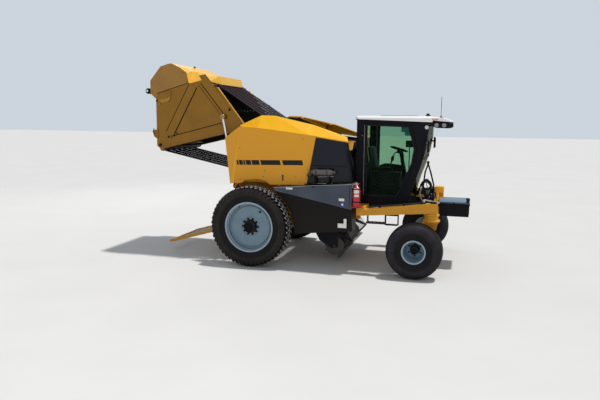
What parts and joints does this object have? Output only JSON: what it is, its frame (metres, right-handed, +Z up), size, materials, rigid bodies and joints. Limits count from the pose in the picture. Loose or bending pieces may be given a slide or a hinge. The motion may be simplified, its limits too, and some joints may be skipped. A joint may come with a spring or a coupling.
{
  "type": "self-propelled round baler",
  "caption": "Self-propelled round baler with a glazed cab, steered by its drive wheels over front casters, belt chamber with raised tailgate, side shields, pickup and bale ramp.",
  "frame": {"origin": "ground under the middle of the overall length and width", "axes": "+X forward, +Y to the machine's left, +Z up"},
  "size_m": [6.832, 3.258, 4.0669],
  "materials": {
    "yellow_paint": "semi gloss",
    "dark_paint": "satin",
    "black_paint": "satin",
    "bare_steel": "brushed",
    "chrome": "polished",
    "engine_iron": "matte",
    "tyre": "matte",
    "belt": "matte",
    "rim_paint": "satin",
    "white_paint": "semi gloss",
    "white_plastic": "gloss",
    "dark_plastic": "matte",
    "black_plastic": "matte",
    "seat_cloth": "woven",
    "tinted_glass": "clear",
    "lamp": "gloss",
    "amber": "gloss",
    "red_paint": "gloss"
  },
  "bodies": {
    "machine": {"rails": "yellow_paint", "cross_beams": "yellow_paint", "tie_lugs": "yellow_paint", "cab_rails": "dark_paint", "arms": "yellow_paint", "chamber_sides": "dark_paint", "chamber_rollers": "bare_steel", "chamber_front": "dark_paint", "belt_spans": "belt", "belts_chamber": "belt", "engine_panels": "dark_plastic", "engine": "engine_iron", "cooler": "dark_plastic", "muffler": "chrome", "side_boxes": "dark_plastic", "cab_floor": "dark_plastic", "cab_frame": "black_paint", "cab_roof": "white_plastic", "cab_visor": "black_plastic", "cab_glass": "tinted_glass", "seat": "seat_cloth", "console": "black_plastic", "mirrors": "black_plastic", "lamps": "lamp", "beacon": "amber", "front_box": "dark_plastic", "front_rail": "black_paint", "steps": "black_paint", "extinguisher": "red_paint"},
    "drive_wheel_R": {"drive_tyre_R": "tyre", "drive_rim_R": "rim_paint"},
    "drive_wheel_L": {"drive_tyre_L": "tyre", "drive_rim_L": "rim_paint"},
    "caster_R": {"caster_fork_R": "yellow_paint"},
    "caster_L": {"caster_fork_L": "yellow_paint"},
    "caster_wheel_R": {"caster_tyre_R": "tyre", "caster_rim_R": "white_paint"},
    "caster_wheel_L": {"caster_tyre_L": "tyre", "caster_rim_L": "white_paint"},
    "tailgate": {"gate_sides": "yellow_paint", "gate_frame": "yellow_paint", "gate_rollers": "bare_steel", "belts_gate": "belt", "wrap_pod": "yellow_paint", "wrap_roller": "black_paint"},
    "barrel_R": {"barrel_R": "black_paint"},
    "barrel_L": {"barrel_L": "black_paint"},
    "rod_R": {"rod_R": "chrome"},
    "rod_L": {"rod_L": "chrome"},
    "shield_R": {"side_shield_R": "yellow_paint"},
    "shield_L": {"side_shield_L": "yellow_paint"},
    "cab_door_R": {"door_R": "black_paint", "door_glass_R": "tinted_glass"},
    "cab_door_L": {"door_L": "black_paint", "door_glass_L": "tinted_glass"},
    "pickup": {"pickup_frame": "yellow_paint"},
    "reel": {"pickup_reel": "bare_steel"},
    "ramp": {"bale_ramp": "yellow_paint"}
  },
  "joints": [
    {"name": "drive_wheel_R_spin", "type": "hinge", "parent": "machine", "child": "drive_wheel_R", "pos_m": [-0.765, -1.436, 0.805], "axis": [0, 1, 0], "continuous": true},
    {"name": "caster_R_swivel", "type": "hinge", "parent": "machine", "child": "caster_R", "pos_m": [2.76, -1.28, 1.2], "axis": [0, 0, 1], "continuous": true},
    {"name": "caster_wheel_R_spin", "type": "hinge", "parent": "caster_R", "child": "caster_wheel_R", "pos_m": [2.45, -1.384, 0.525], "axis": [0, 1, 0], "continuous": true},
    {"name": "drive_wheel_L_spin", "type": "hinge", "parent": "machine", "child": "drive_wheel_L", "pos_m": [-0.765, 1.436, 0.805], "axis": [0, 1, 0], "continuous": true},
    {"name": "caster_L_swivel", "type": "hinge", "parent": "machine", "child": "caster_L", "pos_m": [2.76, 1.28, 1.2], "axis": [0, 0, 1], "continuous": true},
    {"name": "caster_wheel_L_spin", "type": "hinge", "parent": "caster_L", "child": "caster_wheel_L", "pos_m": [2.45, 1.384, 0.525], "axis": [0, 1, 0], "continuous": true},
    {"name": "tailgate_lift", "type": "hinge", "parent": "machine", "child": "tailgate", "pos_m": [-1.04, 0, 2.685], "axis": [0, -1, 0], "range_deg": [0, 60], "deforming": ["belt_spans"]},
    {"name": "barrel_R_swing", "type": "hinge", "parent": "machine", "child": "barrel_R", "pos_m": [-1.28, -0.97, 1.545], "axis": [0, -1, 0], "range_deg": [0, 7]},
    {"name": "rod_R_slide", "type": "slide", "parent": "barrel_R", "child": "rod_R", "axis": [-0.2001, 0, 0.9798], "range_m": [-0.5888, 0]},
    {"name": "shield_R_lift", "type": "hinge", "parent": "machine", "child": "shield_R", "pos_m": [-0.41, -0.935, 2.9506], "axis": [-0.9777, 0, 0.2099], "range_deg": [0, 60]},
    {"name": "cab_door_R_swing", "type": "hinge", "parent": "machine", "child": "cab_door_R", "pos_m": [1.345, -0.866, 1.5], "axis": [0, 0, -1], "range_deg": [0, 80]},
    {"name": "barrel_L_swing", "type": "hinge", "parent": "machine", "child": "barrel_L", "pos_m": [-1.28, 0.97, 1.545], "axis": [0, -1, 0], "range_deg": [0, 7]},
    {"name": "rod_L_slide", "type": "slide", "parent": "barrel_L", "child": "rod_L", "axis": [-0.2001, 0, 0.9798], "range_m": [-0.5888, 0]},
    {"name": "shield_L_lift", "type": "hinge", "parent": "machine", "child": "shield_L", "pos_m": [-0.41, 0.935, 2.9506], "axis": [0.9777, 0, -0.2099], "range_deg": [0, 60]},
    {"name": "cab_door_L_swing", "type": "hinge", "parent": "machine", "child": "cab_door_L", "pos_m": [1.345, 0.866, 1.5], "axis": [0, 0, 1], "range_deg": [0, 80]},
    {"name": "pickup_lift", "type": "hinge", "parent": "machine", "child": "pickup", "pos_m": [0.41, 0, 0.845], "axis": [0, -1, 0], "range_deg": [0, 12]},
    {"name": "reel_spin", "type": "hinge", "parent": "pickup", "child": "reel", "pos_m": [0.82, 0, 0.395], "axis": [0, 1, 0], "continuous": true},
    {"name": "ramp_lift", "type": "hinge", "parent": "machine", "child": "ramp", "pos_m": [-1.57, 0, 0.605], "axis": [0, 1, 0], "range_deg": [0, 10]}
  ],
  "couplings": [
    {"joint": "barrel_R_swing", "follows": "tailgate_lift", "ratio": 0.10839},
    {"joint": "rod_R_slide", "follows": "tailgate_lift", "m_per_rad": -0.55942},
    {"joint": "barrel_L_swing", "follows": "tailgate_lift", "ratio": 0.10839},
    {"joint": "rod_L_slide", "follows": "tailgate_lift", "m_per_rad": -0.55942}
  ]
}
